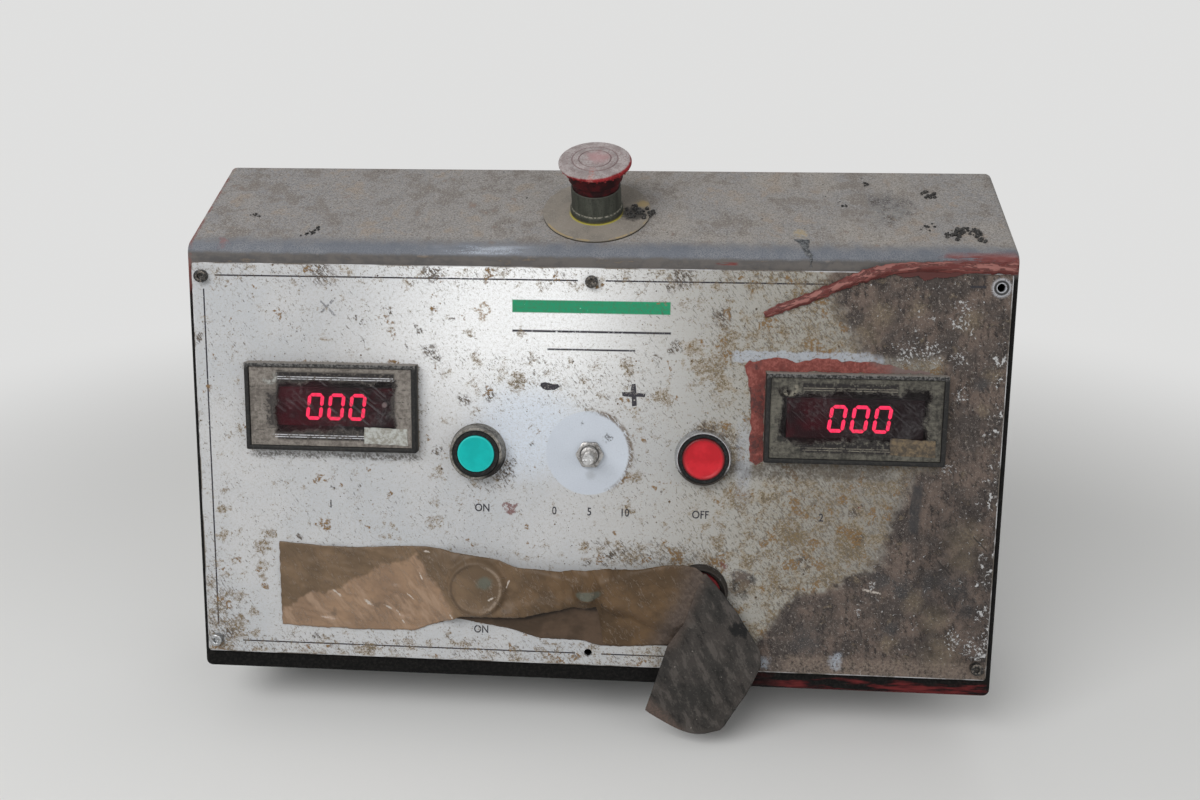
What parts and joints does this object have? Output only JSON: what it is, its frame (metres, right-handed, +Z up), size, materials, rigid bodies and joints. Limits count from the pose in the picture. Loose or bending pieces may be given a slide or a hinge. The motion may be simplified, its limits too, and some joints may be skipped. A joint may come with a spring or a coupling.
{
  "type": "machine operator control box",
  "caption": "Sloping folded steel console box with a screwed aluminium front, digital meters, push buttons, knob shafts and a mushroom stop button, bolted on by its back.",
  "frame": {"origin": "on the back face, at the centre of its four bolt holes", "axes": "+X to the viewer's right, +Y to the back, towards what the box is bolted to, +Z up"},
  "size_m": [0.46, 0.1368, 0.3236],
  "materials": {
    "housing_paint": "old dark paint under grey-brown dust",
    "printed_plate": "white printed, speckled with rust-brown dirt",
    "screw_steel": "blackened and rusty",
    "bezel_plastic": "black, dusty",
    "lens_acrylic": "dark red tinted, dusty round its border",
    "display_plastic": "black",
    "lit_digits": "lit red segments",
    "case_plastic": "black",
    "dull_bezel_metal": "dull and oily",
    "bright_bezel_metal": "bright plated",
    "black_plastic": "black",
    "green_plastic": "blue-green",
    "red_plastic": "red",
    "nickel_metal": "worn plating",
    "shaft_metal": "turned",
    "yellow_disc_plastic": "yellow under thick grey dust",
    "collar_metal": "dull grey",
    "mushroom_plastic": "red under pale dust",
    "gland_plastic": "dark grey",
    "brown_tape": "brown packing tape, dusty and wrinkled",
    "grey_tape": "dusty dark grey",
    "red_paint_skin": "peeled red paint"
  },
  "bodies": {
    "box": {"housing_front": "housing_paint", "housing_top": "housing_paint", "housing_back": "housing_paint", "housing_underside": "housing_paint", "left_cheek": "housing_paint", "right_cheek": "housing_paint", "front_plate": "printed_plate", "plate_screw_top_left": "screw_steel", "plate_screw_top_centre": "screw_steel", "plate_screw_bottom_left": "screw_steel", "plate_screw_bottom_right": "screw_steel", "speed_meter_bezel": "bezel_plastic", "load_meter_bezel": "bezel_plastic", "speed_meter_lens": "lens_acrylic", "load_meter_lens": "lens_acrylic", "speed_meter_display": "display_plastic", "load_meter_display": "display_plastic", "speed_meter_digits": "lit_digits", "load_meter_digits": "lit_digits", "speed_meter_case": "case_plastic", "load_meter_case": "case_plastic", "start_button_bezel": "dull_bezel_metal", "lower_start_bezel": "dull_bezel_metal", "stop_button_bezel": "bright_bezel_metal", "lower_stop_bezel": "bright_bezel_metal", "start_button_ring": "black_plastic", "stop_button_ring": "black_plastic", "lower_start_cap": "green_plastic", "lower_stop_cap": "red_plastic", "button_locknuts": "dull_bezel_metal", "pot_body": "nickel_metal", "pot_nut": "nickel_metal", "lower_pot_body": "nickel_metal", "lower_pot_nut": "nickel_metal", "lower_pot_shaft": "shaft_metal", "estop_label_disc": "yellow_disc_plastic", "estop_collar": "collar_metal", "estop_locknut": "collar_metal", "gland_body": "gland_plastic", "gland_locknut": "gland_plastic", "packing_tape": "brown_tape", "tape_flap": "grey_tape", "peeled_paint_strip": "red_paint_skin"},
    "start_cap": {"start_button_cap": "green_plastic"},
    "stop_cap": {"stop_button_cap": "red_plastic"},
    "pot_spindle": {"pot_shaft": "shaft_metal"},
    "estop_slider": {"estop_plunger": "red_plastic"},
    "estop_head": {"estop_mushroom": "mushroom_plastic"}
  },
  "joints": [
    {"name": "start_push", "type": "slide", "parent": "box", "child": "start_cap", "axis": [0, 0.9848, -0.1736], "range_m": [0, 0.003], "stiffness_N_per_m": 900},
    {"name": "stop_push", "type": "slide", "parent": "box", "child": "stop_cap", "axis": [0, 0.9848, -0.1736], "range_m": [0, 0.003], "stiffness_N_per_m": 900},
    {"name": "pot_turn", "type": "hinge", "parent": "box", "child": "pot_spindle", "pos_m": [0, -0.09927, -0.00637], "axis": [0, 0.9848, -0.1736], "range_deg": [-150, 150]},
    {"name": "estop_push", "type": "slide", "parent": "box", "child": "estop_slider", "axis": [0, 0.4067, -0.9135], "range_m": [0, 0.0035]},
    {"name": "estop_twist", "type": "hinge", "parent": "estop_slider", "child": "estop_head", "pos_m": [0, -0.04568, 0.12095], "axis": [0, 0.4067, -0.9135], "range_deg": [0, 45]}
  ]
}
